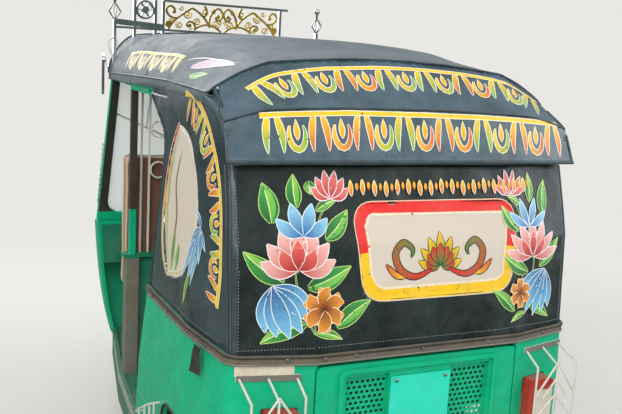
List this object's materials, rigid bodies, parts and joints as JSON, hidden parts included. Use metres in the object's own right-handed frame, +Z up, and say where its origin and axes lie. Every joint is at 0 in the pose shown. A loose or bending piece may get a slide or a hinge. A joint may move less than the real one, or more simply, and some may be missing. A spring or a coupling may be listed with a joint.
{
  "type": "auto rickshaw",
  "caption": "Three-wheeled taxi with an open-sided cabin, a painted steel tub, a cloth hood, a rear engine under a lid and an ornamental crown over the windscreen.",
  "frame": {"origin": "on the ground under the middle of the vehicle's length and width", "axes": "+X to the vehicle's left side, -Y forwards in the direction of travel, +Z up"},
  "size_m": [1.318, 2.64, 1.952],
  "materials": {
    "green_paint": "glossy enamel, chipped and dusty",
    "hood_cloth": "coated hood cloth with a soft sheen",
    "window_film": "milky flexible film",
    "screen_glass": "clear toughened glass",
    "chrome": "bright plated steel",
    "gold_scrolls": "gilded casting, worn",
    "white_rods": "white enamel, dusty",
    "lamp_plastic": "moulded red and clear lens",
    "lens": "moulded clear and amber lenses",
    "tyre_rubber": "worn black rubber",
    "rim_paint": "silver wheel enamel",
    "black_paint": "black chassis paint, dusty",
    "engine_metal": "cast, oily and dusty",
    "muffler_steel": "heat-stained steel",
    "brown_vinyl": "dark brown vinyl with pale piping",
    "trim_strip": "weathered trim strip with a pale edge",
    "grip_rubber": "moulded black rubber"
  },
  "bodies": {
    "body": {"quarter_panel_left": "green_paint", "quarter_panel_right": "green_paint", "rear_panel": "green_paint", "belt_strip": "trim_strip", "canopy_roof": "hood_cloth", "canopy_crown_band": "hood_cloth", "canopy_valance": "hood_cloth", "side_curtain_left": "hood_cloth", "side_curtain_right": "hood_cloth", "rear_curtain": "hood_cloth", "rear_window": "window_film", "side_windows": "window_film", "front_apron": "green_paint", "steering_head": "green_paint", "floor_pan": "green_paint", "chassis": "black_paint", "cross_members": "black_paint", "windscreen_frame": "green_paint", "windscreen_glass": "screen_glass", "dashboard": "green_paint", "headlamp": "chrome", "front_lenses": "lens", "partition_panel": "green_paint", "partition_cage": "white_rods", "hood_frame": "green_paint", "door_arches": "green_paint", "driver_seat_box": "green_paint", "driver_cushion": "brown_vinyl", "driver_backrest": "brown_vinyl", "bench": "green_paint", "passenger_cushion": "brown_vinyl", "passenger_backrest": "brown_vinyl", "engine": "engine_metal", "exhaust": "muffler_steel", "trailing_arms": "black_paint", "half_shafts": "black_paint", "rear_dampers": "black_paint", "tail_lamps": "lamp_plastic", "tail_guards": "white_rods", "arch_guards": "white_rods", "rear_bumper": "black_paint", "crown_rack": "chrome", "crown_scrolls": "gold_scrolls", "mirrors": "chrome"},
    "steering": {"front_fork": "black_paint", "front_dampers": "black_paint", "handlebar": "grip_rubber", "front_mudguard": "green_paint"},
    "front_wheel": {"front_tyre": "tyre_rubber", "front_rim": "rim_paint"},
    "rear_wheel_left": {"rear_left_tyre": "tyre_rubber", "rear_left_rim": "rim_paint"},
    "rear_wheel_right": {"rear_right_tyre": "tyre_rubber", "rear_right_rim": "rim_paint"},
    "lid": {"engine_lid": "green_paint", "lid_grilles": "green_paint"}
  },
  "joints": [
    {"name": "steering_turn", "type": "hinge", "parent": "body", "child": "steering", "pos_m": [0, -1.044, 0.205], "axis": [0, 0.4384, 0.8988], "range_deg": [-40, 40]},
    {"name": "front_wheel_spin", "type": "hinge", "parent": "steering", "child": "front_wheel", "pos_m": [0, -1.07, 0.205], "axis": [1, 0, 0], "continuous": true},
    {"name": "rear_left_wheel_spin", "type": "hinge", "parent": "body", "child": "rear_wheel_left", "pos_m": [0.565, 0.93, 0.205], "axis": [1, 0, 0], "continuous": true},
    {"name": "rear_right_wheel_spin", "type": "hinge", "parent": "body", "child": "rear_wheel_right", "pos_m": [-0.565, 0.93, 0.205], "axis": [1, 0, 0], "continuous": true},
    {"name": "engine_lid_hinge", "type": "hinge", "parent": "body", "child": "lid", "pos_m": [0, 1.251, 0.845], "axis": [1, 0, 0], "range_deg": [0, 80]}
  ]
}
